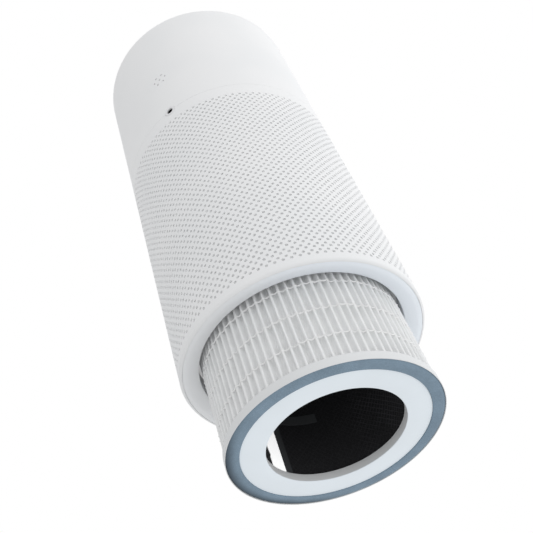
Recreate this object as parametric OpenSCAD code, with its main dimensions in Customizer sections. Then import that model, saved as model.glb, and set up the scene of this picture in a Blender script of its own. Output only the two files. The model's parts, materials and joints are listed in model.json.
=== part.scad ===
// Cylindrical air purifier with its filter cartridge drawn part of the way out of the base.
// Z is up. The origin is on the axis, at the bottom of the drawn cartridge. +Y is the back.

/* [Case] */
// Outer diameter of the case
case_d = 220; // [218:0.5:224]
// Height of the case, from the rim it stands on to its top
case_h = 450; // [448:1:470]
// Wall thickness of the case
wall = 2.2; // [1.8:0.1:2.6]
// Radius of the rounded lower edge
rim_round = 5; // [4:0.5:6]
// Radius of the rounded top edge
top_round = 12; // [8:1:14]
// Height of the seam between the lower shell and the upper housing, above the rim
seam_h = 271.5; // [270:0.5:273]
// Width of the gap that shows at the seam
seam_gap = 0.2; // [0.1:0.1:0.6]

/* [Base] */
// Diameter of the opening in the base
mouth_d = 186; // [185:0.5:187]
// How far the mouth's edge lies above the rim
mouth_rise = 4; // [2:0.5:5]
// Width of the flat rim that the case stands on
rim_flat = 1.6; // [1.2:0.2:2]
// Height of the collar inside the mouth
collar_h = 20; // [16:1:20]

/* [Filter] */
// How far the cartridge stands out below the rim
pull_out = 87.5; // [80:0.5:100]
// Outer diameter of the end caps
filter_d = 182.4; // [181:0.2:182.8]
// Length of the cartridge, gaskets included
filter_h = 250; // [248:0.5:250]
// Diameter of the hole through the end caps
filter_bore = 116.8; // [116:0.2:117]
// Height of an end cap's walls
cap_h = 8; // [7:0.5:10]
// Inner diameter of the flat gasket ring
gasket_id = 159.2; // [156:0.2:164]
// Number of pleats round the cartridge
pleats = 83; // [60:1:90]
// Thickness of the pleated sheet
sheet_t = 0.45; // [0.3:0.05:0.55]
// Spacing of the glue beads that hold the pleats apart
bead_pitch = 28; // [26:1:30]
// Height of the lowest glue bead
bead_z = 30.8; // [24:0.2:31]

/* [Fan] */
// Outer diameter of the impeller
impeller_d = 144; // [136:1:148]
// Number of impeller blades
blades = 16; // [10:1:20]
// Diameter of the opening in the fan deck
inlet_d = 124; // [122:1:124]
// Number of guide vanes that hold the motor
vanes = 12; // [8:1:14]

/* [Outlet grille] */
// Number of fins in the grille
fins = 48; // [40:1:52]
// Thickness of a fin
fin_t = 1.6; // [1.2:0.1:1.8]
// Angle between a fin and the radius
fin_slant = 20; // [0:1:25]

/* [Back] */
// Height of the low-voltage inlet above the rim
inlet_h = 271.5; // [270:0.5:273]
// Diameter of the inlet's hole, for the body of a barrel plug
jack_d = 6; // [5.8:0.1:6.4]
// Height of the middle of the sensor holes above the rim
sensor_h = 334.5; // [330:0.5:340]
// Diameter of one sensor hole
sensor_hole_d = 2.5; // [1.5:0.1:3]
// Distance between neighbouring sensor holes
sensor_pitch = 7; // [6:0.5:8]

/* [Controls] */
// Diameter of the control panel
panel_d = 80; // [80:0.5:80.2]
// Travel of each key
key_travel = 1; // [0.5:0.1:1]
// Distance of the three small keys from the axis
key_ring = 23; // [22:0.5:24]

/* [Hidden] */
$fn = 96;
case_r = case_d / 2;
in_r = case_r - wall;
rim_z = pull_out;
top_z = rim_z + case_h;
round_z = top_z - top_round;
seam_z = rim_z + seam_h;
jack_z = rim_z + inlet_h;
sensor_z = rim_z + sensor_h;
mouth_r = mouth_d / 2;
ring_r = case_r - rim_round - 0.1;
deck_z = rim_z + 257.5;
deck_t = 3;
deck_r = in_r - 2.3;
boss_ring = in_r - 8.8;
net_t = 0.6;
bezel_r = 6.2;
notch_r = bezel_r + 0.15;
sleeve_r = jack_d / 2 + 0.5;
socket_y = case_r - 7;
duct_r = 88;
duct_t = 2;
duct_top = deck_z + 167;
cap_r = filter_d / 2;
bore_r = filter_bore / 2;
cap_skin = 1.6;
cap_lip = 0.6;
gasket_t = 2.4;
pan_z = 4.4;
tip_r = cap_r - 1.4;
fold_r = bore_r + 8.6;
core_in = bore_r + 1.6;
core_t = 6;
imp_r = impeller_d / 2;
imp_z0 = deck_z + 13;
imp_z1 = imp_z0 + 54;
motor_z = imp_z1 + 8;
motor_h = 40;
motor_r = 32;
wire_z = motor_z + motor_h + 6.4;
shaft_r = 4;
press_gap = 0.02;
bearing_r = 11;
panel_r = panel_d / 2;
panel_z = top_z - 4.5;
tray_z = panel_z - 21;
key_list = [[0, 0, 9], [key_ring, 90, 6.5], [key_ring, 210, 6.5], [key_ring, 330, 6.5]];

// ---- Shared shapes ----

// Points on an arc about (cx, cy), from angle a0 to a1
function arc(cx, cy, r, a0, a1, n = 8) =
    [for (i = [0:n]) [cx + r * cos(a0 + (a1 - a0) * i / n), cy + r * sin(a0 + (a1 - a0) * i / n)]];

// Flat ring between two radii and two heights
module ring(r_in, r_out, z0, z1) {
    translate([0, 0, z0]) difference() {
        cylinder(r = r_out, h = z1 - z0);
        translate([0, 0, -1]) cylinder(r = r_in, h = z1 - z0 + 2);
    }
}

// Plain round bar or disc between two heights
module disc(r, z0, z1) {
    translate([0, 0, z0]) cylinder(r = r, h = z1 - z0);
}

// Copies of a child, equally spaced round the axis
module around(n, start = 0) {
    for (i = [0:n - 1]) rotate([0, 0, start + 360 * i / n]) children();
}

// Child at a distance along +X, repeated round the axis
module at_ring(n, r, start = 0) {
    around(n, start) translate([r, 0, 0]) children();
}

// Part of a thin tube between two angles
module strip(r, t, a0, a1, z0, z1) {
    translate([0, 0, z0]) rotate([0, 0, a0]) rotate_extrude(angle = a1 - a0)
        translate([r, 0]) square([t, z1 - z0]);
}

// Curved upright blade from an inner to an outer radius
module blade(r0, r1, bend, t, z0, z1) {
    span = (r1 - r0) / 2;
    mid = (r1 + r0) / 2;
    turn = asin(span / bend);
    translate([mid, -bend * cos(turn), z0]) rotate([0, 0, 90 - turn])
        rotate_extrude(angle = 2 * turn) translate([bend - t / 2, 0]) square([t, z1 - z0]);
}

// Bar along +Y at a height, for holes and pieces in the back
module back_bar(r, y0, y1, x = 0, z = 0) {
    translate([x, y0, z]) rotate([-90, 0, 0]) cylinder(r = r, h = y1 - y0, $fn = 48);
}

// Pan-head screw with its head at z = 0 and its shank going up
module screw(head_r, shank_r, length) {
    cylinder(r = shank_r, h = length, $fn = 24);
    translate([0, 0, -2.2]) cylinder(r = head_r, h = 2.2, $fn = 24);
}

// ---- Housing ----

// Lower shell: the tube that draws the air in, with a rounded lower edge
module intake_shell() {
    lip_z = rim_z + 2.4;
    profile = concat(
        [[case_r, seam_z - seam_gap / 2], [in_r, seam_z - seam_gap / 2], [in_r, rim_z + rim_round],
            [case_r - rim_round, lip_z], [case_r - rim_round, rim_z]],
        arc(case_r - rim_round, rim_z + rim_round, rim_round, -90, 0)
    );
    color("white") difference() {
        rotate_extrude() polygon(profile);
        back_bar(notch_r, 90, 120, 0, jack_z);
    }
}

// Base ring: dished annulus round the mouth, with a collar for a twist-on cover
module base_ring() {
    t = 2.2;
    color("whitesmoke") difference() {
        rotate_extrude() polygon([
            [ring_r - rim_flat, rim_z], [ring_r, rim_z], [ring_r, rim_z + 12], [ring_r - t, rim_z + 12],
            [ring_r - t, rim_z + 4], [mouth_r + t, rim_z + mouth_rise + t + 1],
            [mouth_r + t, rim_z + mouth_rise + collar_h],
            [mouth_r, rim_z + mouth_rise + collar_h], [mouth_r, rim_z + mouth_rise]
        ]);
        around(3) {
            strip(mouth_r - 1, 2.1, 0, 10, rim_z, rim_z + 14);
            strip(mouth_r - 1, 2.1, 0, 34, rim_z + 9, rim_z + 14);
        }
    }
}

// Six upright ribs that carry the fan deck and guide the cartridge
module guide_ribs() {
    foot_z = rim_z + mouth_rise + collar_h;
    color("gainsboro") at_ring(6, mouth_r - 0.2, 30)
        translate([0, -1, foot_z]) cube([in_r - mouth_r - net_t - 0.4, 2, deck_z - foot_z]);
}

// Coarse net against the inside of the shell, which keeps lint out
module lint_net() {
    color("lightgray") ring(in_r - 0.2 - net_t, in_r - 0.2, rim_z + rim_round, seam_z - 7);
}

// Fan deck: the partition over the filter bay, with a rounded air inlet
module fan_deck() {
    r = inlet_d / 2;
    lip = concat(
        [[r, deck_z], [deck_r, deck_z], [deck_r, deck_z + deck_t], [r + 8, deck_z + deck_t]],
        arc(r + 8, deck_z + deck_t + 6, 6, -90, -180, 6),
        [[r + 2, deck_z + 11], [r, deck_z + 11]]
    );
    color("lightgray") difference() {
        rotate_extrude() polygon(lip);
        at_ring(6, boss_ring) translate([0, 0, deck_z - 1]) cylinder(r = 1.7, h = 8, $fn = 24);
    }
}

// Finger guard in the fan deck's inlet
module inlet_guard() {
    z0 = deck_z + 0.4;
    r = inlet_d / 2;
    color("gray") {
        for (k = [1:4]) ring(12 * k - 0.7, 12 * k + 0.7, z0, z0 + 2);
        ring(r - 2.2, r - 0.2, z0, z0 + 2);
        around(6) translate([0, -0.7, z0]) cube([r - 1, 1.4, 2]);
    }
}

// Fan duct: the tube that leads the air from the fan up to the outlet
module fan_duct() {
    base_z = deck_z + deck_t;
    color("gainsboro") difference() {
        union() {
            ring(duct_r, duct_r + duct_t, base_z, duct_top);
            ring(duct_r, duct_r + 5, base_z, base_z + 2);
        }
        rotate([0, 0, -60]) back_bar(5, duct_r - 4, duct_r + 6, 0, wire_z);
    }
}

// Upper housing: smooth tube with small sensor holes
module upper_housing() {
    color("white") difference() {
        ring(in_r, case_r, seam_z + seam_gap / 2, round_z);
        back_bar(notch_r, 90, 120, 0, jack_z);
        back_bar(sensor_hole_d / 2, 90, 120, 0, sensor_z);
        for (a = [0:60:300])
            back_bar(sensor_hole_d / 2, 90, 120, sensor_pitch * cos(a), sensor_z + sensor_pitch * sin(a));
    }
}

// Rounded top of the upper housing, with a lip round the grille
module top_rim() {
    lip_r = case_r - 16;
    profile = concat(
        arc(case_r - top_round, round_z, top_round, 0, 90, 10),
        [[lip_r, top_z], [lip_r, top_z - 9], [lip_r + wall, top_z - 9], [lip_r + wall, top_z - wall]],
        arc(case_r - top_round, round_z, top_round - wall, 90, 0, 10)
    );
    color("white") rotate_extrude() polygon(profile);
}

// Ring bonded inside the upper housing, which centres the intake shell
module seam_ring() {
    color("gainsboro") difference() {
        ring(in_r - 1.9, in_r - 0.1, seam_z - 5.4, seam_z + 9.1);
        back_bar(notch_r, 90, 120, 0, jack_z);
    }
}

// Six screw posts welded inside the upper housing, over the fan deck
module deck_posts() {
    z0 = deck_z + deck_t;
    reach = in_r - 1.95 - boss_ring;
    color("gainsboro") at_ring(6, boss_ring) difference() {
        union() {
            translate([0, 0, z0]) cylinder(r = 4, h = 26, $fn = 32);
            translate([2, -1.5, z0 + 6]) cube([reach - 2, 3, 20]);
        }
        translate([0, 0, z0 - 1]) cylinder(r = 1.6, h = 20, $fn = 24);
    }
}

// ---- Inlet and sensor ----

// Pale ring round the low-voltage inlet
module jack_bezel() {
    color("lightgray") difference() {
        union() {
            back_bar(bezel_r, socket_y, case_r + 0.3, 0, jack_z);
            back_bar(bezel_r + 1.8, socket_y, socket_y + 2, 0, jack_z);
        }
        back_bar(sleeve_r + 0.05, 100, 120, 0, jack_z);
    }
}

// Socket with a black sleeve that ends a little below the ring's edge
module dc_jack() {
    color("black") difference() {
        union() {
            translate([-7, socket_y - 10, jack_z - 6]) cube([14, 9.8, 12]);
            back_bar(sleeve_r, socket_y - 1, case_r - 1.3, 0, jack_z);
        }
        back_bar(sleeve_r - 1.1, socket_y - 8, 110, 0, jack_z);
        back_bar(jack_d / 2, socket_y - 2.5, 120, 0, jack_z);
    }
}

// Contact pin in the socket
module jack_pin() {
    color("silver") back_bar(1, socket_y - 8, socket_y - 3, 0, jack_z);
}

// Particle sensor behind the small holes
module particle_sensor() {
    color("slategray") difference() {
        translate([-22, 93, sensor_z - 17]) cube([44, 9.5, 34]);
        back_bar(8, 96, 110, 0, sensor_z);
    }
}

// Foam ring between the sensor and the housing
module sensor_seal() {
    color("dimgray") difference() {
        back_bar(12, 102.5, 106.6, 0, sensor_z);
        back_bar(9.3, 100, 110, 0, sensor_z);
    }
}

// Pale dust screen between the foam ring and the holes
module sensor_screen() {
    color("lightgray") back_bar(11.4, 106.65, 106.95, 0, sensor_z);
}

// ---- Electronics ----

// Child placed on the main board's outer face, at 30 degrees round the case
module on_board() {
    rotate([0, 0, 30]) translate([98.6, 0, sensor_z]) children();
}

// Main circuit board, upright between the duct and the housing
module main_board() {
    color("darkgreen") on_board() difference() {
        translate([-1.6, -29, -34]) cube([1.6, 58, 68]);
        for (y = [-25, 25], z = [-30, 30])
            translate([-3, y, z]) rotate([0, 90, 0]) cylinder(r = 1.7, h = 5, $fn = 24);
    }
}

// Capacitors, driver and connector on the main board
module board_parts() {
    color("silver") on_board() {
        translate([0, -10, -20]) cube([3, 8, 12]);
        translate([0, 4, -18]) cube([3.6, 7, 9]);
        translate([0, -6, 8]) cube([1.8, 12, 12]);
        translate([0, -9, 25]) cube([4, 18, 5]);
    }
}

// Wires from the inlet to the board, and from the board to the motor and the panel
module wire_harness() {
    r = 98.6;
    color("firebrick") {
        translate([11, 96, jack_z - 2]) cylinder(r = 1.4, h = sensor_z - 30 - jack_z, $fn = 16);
        translate([7, 96, jack_z - 2]) rotate([0, 90, 0]) cylinder(r = 1.4, h = 5, $fn = 16);
        translate([0, 0, sensor_z - 32]) rotate([0, 0, 52]) rotate_extrude(angle = 31.5)
            translate([96.6, 0]) circle(r = 1.4, $fn = 16);
        rotate([0, 0, 30]) {
            translate([r - 5, 0, wire_z]) rotate([0, -90, 0]) cylinder(r = 1.4, h = 78, $fn = 16);
            translate([r - 5, 0, sensor_z + 36]) cylinder(r = 1.4, h = tray_z + 5 - sensor_z - 36, $fn = 16);
            translate([r - 5, 0, tray_z + 5]) rotate([0, -90, 0]) cylinder(r = 1.4, h = 52, $fn = 16);
        }
    }
}

// ---- Motor ----

// Guide vanes and cup that hold the motor in the duct
module motor_mount() {
    cup_top = motor_z + motor_h;
    color("gainsboro") {
        difference() {
            union() {
                ring(motor_r + 0.3, motor_r + 3, motor_z - 2, cup_top);
                disc(motor_r + 3, cup_top, cup_top + 2.5);
            }
            disc(12, cup_top - 1, cup_top + 4);
            at_ring(4, 22, 45) disc(1.7, cup_top - 1, cup_top + 4, $fn = 24);
        }
        ring(duct_r - 2.4, duct_r - 0.2, motor_z + 4, motor_z + 34);
        around(vanes) blade(motor_r + 2, duct_r - 1.5, 60, 2, motor_z + 6, motor_z + 32);
    }
}

// Motor can with pockets for the two bearings
module motor_can() {
    top = motor_z + motor_h;
    color("silver") difference() {
        union() {
            ring(motor_r - 1.8, motor_r, motor_z, top);
            disc(motor_r, motor_z, motor_z + 3);
            disc(motor_r, top - 3, top);
            ring(bearing_r, bearing_r + 2, motor_z, motor_z + 9);
            ring(bearing_r, bearing_r + 2, top - 9, top);
            at_ring(4, 22, 45) disc(3.4, top - 9, top);
        }
        disc(5, motor_z - 1, motor_z + 5);
        disc(5, top - 5, top + 1);
        at_ring(4, 22, 45) disc(1.6, top - 7, top + 1, $fn = 24);
    }
}

// Wound stator inside the can
module motor_stator() {
    color("darkorange") difference() {
        union() {
            ring(26.5, motor_r - 1.8, motor_z + 12, motor_z + 29);
            around(9) translate([17, -2.4, motor_z + 13]) cube([10.5, 4.8, 15]);
            at_ring(9, 22.2) translate([-3.4, -4.2, motor_z + 12]) cube([6, 8.4, 17]);
        }
        disc(16.6, motor_z, motor_z + 40);
    }
}

module bearing(z0) {
    color("lightsteelblue") ring(shaft_r + 0.05, bearing_r, z0, z0 + 6);
}

// Bearing at the impeller's end
module bearing_lower() {
    bearing(motor_z + 3);
}

// Bearing at the far end
module bearing_upper() {
    bearing(motor_z + motor_h - 9);
}

// ---- Turning pieces ----

// Impeller: shroud ring, curved blades, back plate and hub
module impeller() {
    hub_z = imp_z1 - 30;
    color("whitesmoke") difference() {
        union() {
            ring(inlet_d / 2 - 1, imp_r, imp_z0, imp_z0 + 2);
            around(blades) blade(46, imp_r - 0.4, 42, 1.6, imp_z0 + 1, imp_z1 + 1);
            disc(imp_r, imp_z1, imp_z1 + 2.5);
            disc(12, hub_z, imp_z1 + 1);
        }
        disc(shaft_r + press_gap, hub_z - 1, imp_z1 + 5);
    }
}

// Motor shaft
module motor_shaft() {
    color("silver") disc(shaft_r, imp_z1 - 40, motor_z + motor_h + 1);
}

// Magnet rotor on the shaft
module motor_rotor() {
    color("dimgray") ring(shaft_r + press_gap, 16, motor_z + 12, motor_z + 29);
}

// Hexagonal nut that holds the impeller
module impeller_nut() {
    color("silver") difference() {
        translate([0, 0, imp_z1 - 36]) cylinder(r = 8, h = 6, $fn = 6);
        disc(shaft_r + press_gap, imp_z1 - 40, imp_z1);
    }
}

// ---- Top ----

// Outlet grille: straight fins set at a slant to the radius
module outlet_grille() {
    r0 = panel_r + 4.8;
    r1 = case_r - 18.8;
    reach = sqrt(r1 * r1 - pow(r0 * sin(fin_slant), 2)) - r0 * cos(fin_slant) - 0.3;
    color("white") at_ring(fins, r0) rotate([0, 0, fin_slant])
        translate([0, -fin_t / 2, top_z - 8]) cube([reach, fin_t, 6]);
}

// Hub ring and outer ring of the outlet grille
module grille_rings() {
    r0 = panel_r + 2.3;
    r1 = case_r - 18.6;
    color("white") {
        ring(r0, r0 + 2.2, top_z - 9, top_z - 2);
        ring(r1, r1 + 2.3, top_z - 8, top_z - 2);
    }
}

// Clear ring that glows round the control panel
module light_guide() {
    color("lightcyan") ring(panel_r + 0.2, panel_r + 2.1, tray_z + 16, panel_z + 3.8);
}

// Tray under the control panel
module control_tray() {
    color("white") {
        ring(panel_r - 2, panel_r, tray_z, panel_z);
        disc(panel_r - 1, tray_z, tray_z + 2);
        ring(panel_r - 1, panel_r + 5, tray_z + 12, tray_z + 14);
        around(3) rotate([0, 0, 15]) translate([panel_r + 3, -3, tray_z + 13]) cube([52, 6, 2.5]);
    }
}

// Glossy panel with round holes for the keys
module control_panel() {
    color("black") difference() {
        disc(panel_r, panel_z, panel_z + 3.5);
        for (k = key_list)
            rotate([0, 0, k[1]]) translate([k[0], 0, 0]) disc(k[2] + 0.3, panel_z - 1, panel_z + 5);
    }
}

// Circuit board for the keys and lights
module control_board() {
    color("darkgreen") {
        disc(panel_r - 4, tray_z + 10, tray_z + 11.6);
        at_ring(3, 31, 30) disc(2.5, tray_z + 2, tray_z + 10, $fn = 24);
    }
}

// One tact switch under each key
module tact_switches() {
    z0 = tray_z + 11.6;
    color("silver") for (k = key_list)
        rotate([0, 0, k[1]]) translate([k[0], 0, 0]) {
            translate([-3, -3, z0]) cube([6, 6, 3.4]);
            disc(1.7, z0 + 3.4, z0 + 4.4, $fn = 24);
        }
}

// Key cap with a hidden flange and a stem, taken from the key list
module key(i) {
    k = key_list[i];
    rotate([0, 0, k[1]]) translate([k[0], 0, 0]) {
        disc(k[2], panel_z - 3, panel_z + 4);
        disc(k[2] + 1.3, panel_z - 3.4, panel_z - 1.2);
        disc(2.4, tray_z + 16 + key_travel + 0.2, panel_z - 3);
    }
}

module key_power() {
    color("white") key(0);
}

module key_speed() {
    color("lightgray") key(1);
}

module key_timer() {
    color("lightgray") key(2);
}

module key_sleep() {
    color("lightgray") key(3);
}

// ---- Fasteners ----

// Screws that hold the fan deck to the upper housing
module deck_screws() {
    color("silver") at_ring(6, boss_ring) translate([0, 0, deck_z]) screw(3.2, 1.5, 18);
}

// Screws that hold the motor in its cup
module motor_screws() {
    color("silver") at_ring(4, 22, 45)
        translate([0, 0, motor_z + motor_h + 2.5]) mirror([0, 0, 1]) screw(3, 1.5, 9);
}

// Screws and spacers that hold the main board to the duct
module board_screws() {
    color("silver") on_board() for (y = [-25, 25], z = [-30, 30])
        translate([0.1, y, z]) rotate([0, -90, 0]) {
            screw(2.8, 1.5, 4);
            translate([0, 0, 1.8]) cylinder(r = 2.6, h = 2.6, $fn = 24);
        }
}

// ---- Filter cartridge ----

// Half of an end cap's section, from the face that faces outward
module cap() {
    g = gasket_id / 2;
    rotate_extrude() polygon([
        [bore_r, gasket_t - cap_skin], [g, gasket_t - cap_skin], [g, gasket_t],
        [cap_r - cap_lip, gasket_t], [cap_r - cap_lip, 0.4], [cap_r, 0.4],
        [cap_r, cap_h], [cap_r - 1.2, cap_h], [cap_r - 1.2, pan_z],
        [bore_r + 1.4, pan_z], [bore_r + 1.4, cap_h], [bore_r, cap_h]
    ]);
}

// Child turned over, for the cartridge's far end
module far_end() {
    translate([0, 0, filter_h]) mirror([0, 0, 1]) children();
}

// Lower end cap, the one that faces the user
module end_cap_lower() {
    color("aliceblue") cap();
}

// Upper end cap, the one that faces the fan
module end_cap_upper() {
    color("aliceblue") far_end() cap();
}

// Flat foam gasket let into the lower cap
module gasket_lower() {
    color("lightslategray") ring(gasket_id / 2, cap_r - cap_lip, 0, gasket_t);
}

// Flat foam gasket let into the upper cap
module gasket_upper() {
    color("lightslategray") far_end() ring(gasket_id / 2, cap_r - cap_lip, 0, gasket_t);
}

// Zigzag outline with a ridge and a fold for each pleat
function zigzag(ridge, fold) = [
    for (i = [0:2 * pleats - 1]) let (a = 180 * i / pleats, r = i % 2 == 0 ? ridge : fold)
        [r * cos(a), r * sin(a)]
];

// Pleated filter sheet between the end caps
module pleated_media() {
    pitch = 2 * PI * (tip_r + fold_r) / 2 / pleats;
    slant = sheet_t * (tip_r - fold_r) / (pitch / 2);
    color("white") translate([0, 0, pan_z]) linear_extrude(filter_h - 2 * pan_z) difference() {
        polygon(zigzag(tip_r, fold_r + slant));
        polygon(zigzag(tip_r - slant, fold_r));
    }
}

// Glue beads round the pleats
module glue_beads() {
    last = floor((filter_h - 12 - bead_z) / bead_pitch);
    color("white") for (i = [0:last])
        ring(tip_r + 0.05, tip_r + 0.65, bead_z + bead_pitch * i - 0.6, bead_z + bead_pitch * i + 0.6);
}

// Tube of carbon granules in mesh, inside the pleats
module carbon_core() {
    color([0.08, 0.08, 0.08]) ring(core_in, core_in + core_t, pan_z, filter_h - pan_z);
}

// Dark tape over the core's seam
module seam_strip() {
    color("dimgray") strip(core_in - 0.5, 0.5, 338.6, 345.2, cap_h, filter_h - cap_h);
}

// Blank white label beside the seam
module blank_label() {
    color("white") strip(core_in - 0.4, 0.4, 345.6, 363, cap_h, filter_h - cap_h - 30);
}

// Grey band across the core
module core_band() {
    color("gray") strip(core_in - 0.5, 0.5, 301, 338.2, 60, 69);
}

intake_shell();
lint_net();
base_ring();
guide_ribs();
fan_deck();
inlet_guard();
fan_duct();
upper_housing();
top_rim();
seam_ring();
deck_posts();
jack_bezel();
dc_jack();
jack_pin();
particle_sensor();
sensor_seal();
sensor_screen();
main_board();
board_parts();
wire_harness();
motor_mount();
motor_can();
motor_stator();
bearing_lower();
bearing_upper();
outlet_grille();
grille_rings();
light_guide();
control_tray();
control_panel();
control_board();
tact_switches();
deck_screws();
motor_screws();
board_screws();
impeller();
motor_shaft();
motor_rotor();
impeller_nut();
end_cap_lower();
end_cap_upper();
gasket_lower();
gasket_upper();
pleated_media();
glue_beads();
carbon_core();
seam_strip();
blank_label();
core_band();
key_power();
key_speed();
key_timer();
key_sleep();
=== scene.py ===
import json
import math

import bpy
import numpy as np
from mathutils import Matrix, Vector


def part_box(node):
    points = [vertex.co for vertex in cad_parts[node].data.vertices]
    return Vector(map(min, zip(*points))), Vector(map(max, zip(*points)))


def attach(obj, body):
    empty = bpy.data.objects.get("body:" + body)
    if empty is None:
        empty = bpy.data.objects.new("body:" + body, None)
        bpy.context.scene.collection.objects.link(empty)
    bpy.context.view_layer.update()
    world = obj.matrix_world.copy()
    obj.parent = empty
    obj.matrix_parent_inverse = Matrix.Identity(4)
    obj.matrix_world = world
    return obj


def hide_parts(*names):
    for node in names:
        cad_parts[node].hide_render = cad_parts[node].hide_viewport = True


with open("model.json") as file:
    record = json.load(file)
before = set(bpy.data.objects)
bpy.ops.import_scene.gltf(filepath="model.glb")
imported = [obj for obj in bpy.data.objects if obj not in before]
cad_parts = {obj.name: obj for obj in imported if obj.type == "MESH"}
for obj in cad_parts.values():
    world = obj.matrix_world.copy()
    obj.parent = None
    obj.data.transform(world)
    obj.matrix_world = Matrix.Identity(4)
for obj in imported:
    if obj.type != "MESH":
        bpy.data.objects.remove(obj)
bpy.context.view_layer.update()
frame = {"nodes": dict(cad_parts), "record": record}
NODES = frame["nodes"]
MM = 0.001
TAU = 2 * math.pi

# ---------------------------------------------------------------- sizes from the frame

SHELL_LOW, SHELL_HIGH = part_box("intake_shell")
TOP_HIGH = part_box("top_rim")[1]
CAP_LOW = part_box("end_cap_lower")[0]
FAR_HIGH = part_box("end_cap_upper")[1]
JACK_LOW, JACK_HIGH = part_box("jack_bezel")
SENSOR_LOW, SENSOR_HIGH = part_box("particle_sensor")
MEDIA_LOW, MEDIA_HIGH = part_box("pleated_media")
CORE_LOW, CORE_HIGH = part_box("carbon_core")
GRILLE_LOW, GRILLE_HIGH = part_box("outlet_grille")
PANEL_LOW, PANEL_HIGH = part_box("control_panel")

CASE_R = round(SHELL_HIGH[0], 3)
WALL = 2.2 * MM
INNER_R = CASE_R - WALL
RIM_Z = SHELL_LOW[2]
SEAM_Z = SHELL_HIGH[2] + 0.1 * MM
TOP_Z = TOP_HIGH[2]
JACK_Z = (JACK_LOW[2] + JACK_HIGH[2]) / 2
SENSOR_Z = (SENSOR_LOW[2] + SENSOR_HIGH[2]) / 2
FILTER_H = FAR_HIGH[2] + CAP_LOW[2]
TIP_R = 89.8 * MM
PLEATS = 83
CORE_R = 60 * MM
PANEL_R = 40 * MM

# ---------------------------------------------------------------- shader maths


class Graph:
    """A material's node tree, with one method that adds any node."""

    def __init__(self, name):
        self.material = bpy.data.materials.new(name)
        self.material.use_nodes = True
        self.tree = self.material.node_tree
        self.tree.nodes.clear()
        self.out = self.tree.nodes.new("ShaderNodeOutputMaterial")
        self.surface = self.tree.nodes.new("ShaderNodeBsdfPrincipled")
        self.tree.links.new(self.surface.outputs[0], self.out.inputs[0])

    def node(self, kind, settings=None, inputs=None, output=0):
        """Adds a node, sets its settings, then its sockets' values or links, and wraps one output."""
        made = self.tree.nodes.new(kind)
        for key, value in (settings or {}).items():
            if key == "stops":
                ramp = made.color_ramp
                while len(ramp.elements) < len(value):
                    ramp.elements.new(0.5)
                for element, (place, colour) in zip(ramp.elements, value):
                    element.position = place
                    element.color = (*colour, 1.0)
            else:
                setattr(made, key, value)
        for key, value in (inputs or {}).items():
            if isinstance(value, Value):
                self.tree.links.new(value.socket, made.inputs[key])
            else:
                made.inputs[key].default_value = value
        return Value(self, made.outputs[output])

    def maths(self, operation, *terms):
        return self.node("ShaderNodeMath", {"operation": operation}, dict(enumerate(terms)))

    def position(self):
        """Object coordinates in metres."""
        return self.node("ShaderNodeTexCoord", output=3)

    def axes(self):
        """Object coordinates as three separate values."""
        split = self.node("ShaderNodeSeparateXYZ", inputs={0: self.position()})
        outs = split.socket.node.outputs
        return [Value(self, outs[i]) for i in range(3)]

    def noise(self, scale, detail=3.0, rough=0.55, stretch=(1, 1, 1)):
        """Soft noise between about 0.3 and 0.7, with its own stretch along each axis."""
        place = self.node("ShaderNodeMapping", inputs={0: self.position(), 3: stretch})
        return self.node(
            "ShaderNodeTexNoise",
            inputs={"Vector": place, "Scale": scale, "Detail": detail, "Roughness": rough},
        )

    def mix(self, mask, a, b):
        """Colour a where the mask is 0, colour b where it is 1."""
        colour = [c if isinstance(c, Value) else (*c, 1.0) for c in (a, b)]
        made = self.node(
            "ShaderNodeMix", {"data_type": "RGBA"}, {0: mask, 6: colour[0], 7: colour[1]}, output=2
        )
        return made

    def bump(self, height, strength, distance):
        return self.node(
            "ShaderNodeBump", inputs={"Height": height, "Strength": strength, "Distance": distance}
        )

    def set(self, **sockets):
        """Values or links of the Principled shader, with underscores for spaces."""
        for key, value in sockets.items():
            socket = self.surface.inputs[key.replace("_", " ")]
            if isinstance(value, Value):
                self.tree.links.new(value.socket, socket)
            elif socket.type == "RGBA":
                socket.default_value = (*value, 1.0)
            else:
                socket.default_value = value
        return self.material


class Value:
    """An output socket that takes arithmetic: each operator adds one Math node."""

    def __init__(self, graph, socket):
        self.graph = graph
        self.socket = socket

    def __add__(self, other):
        return self.graph.maths("ADD", self, other)

    def __radd__(self, other):
        return self.graph.maths("ADD", other, self)

    def __sub__(self, other):
        return self.graph.maths("SUBTRACT", self, other)

    def __rsub__(self, other):
        return self.graph.maths("SUBTRACT", other, self)

    def __mul__(self, other):
        return self.graph.maths("MULTIPLY", self, other)

    def __rmul__(self, other):
        return self.graph.maths("MULTIPLY", other, self)

    def __truediv__(self, other):
        return self.graph.maths("DIVIDE", self, other)

    def step(self, low, high):
        """0 below low, 1 above high, smooth between."""
        return self.graph.node(
            "ShaderNodeMapRange",
            {"interpolation_type": "SMOOTHSTEP"},
            {0: self, 1: low, 2: high, 3: 0.0, 4: 1.0},
        )

    def call(self, operation, *terms):
        return self.graph.maths(operation, self, *terms)


# ---------------------------------------------------------------- materials


def plastic(name, colour, roughness=0.42, grain=9000, depth=0.02, tint=0.03, coat=0.0, glow=0.0):
    """Moulded plastic: a fine moulding grain in the bump, and slow changes of tone and gloss."""
    g = Graph(name)
    slow = g.noise(14, 2)
    fine = g.noise(grain, 2)
    dark = tuple(c * (1 - tint) for c in colour)
    return g.set(
        Base_Color=g.mix(slow.step(0.35, 0.65), dark, colour),
        Roughness=roughness + (g.noise(60, 3) - 0.5) * 0.12,
        Normal=g.bump(fine, 0.25, depth * MM),
        Coat_Weight=coat,
        Coat_Roughness=0.12,
        Specular_IOR_Level=0.42,
        # Emission is painted light wherever glow is above 0.
        Emission_Color=colour,
        Emission_Strength=glow,
    )


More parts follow.
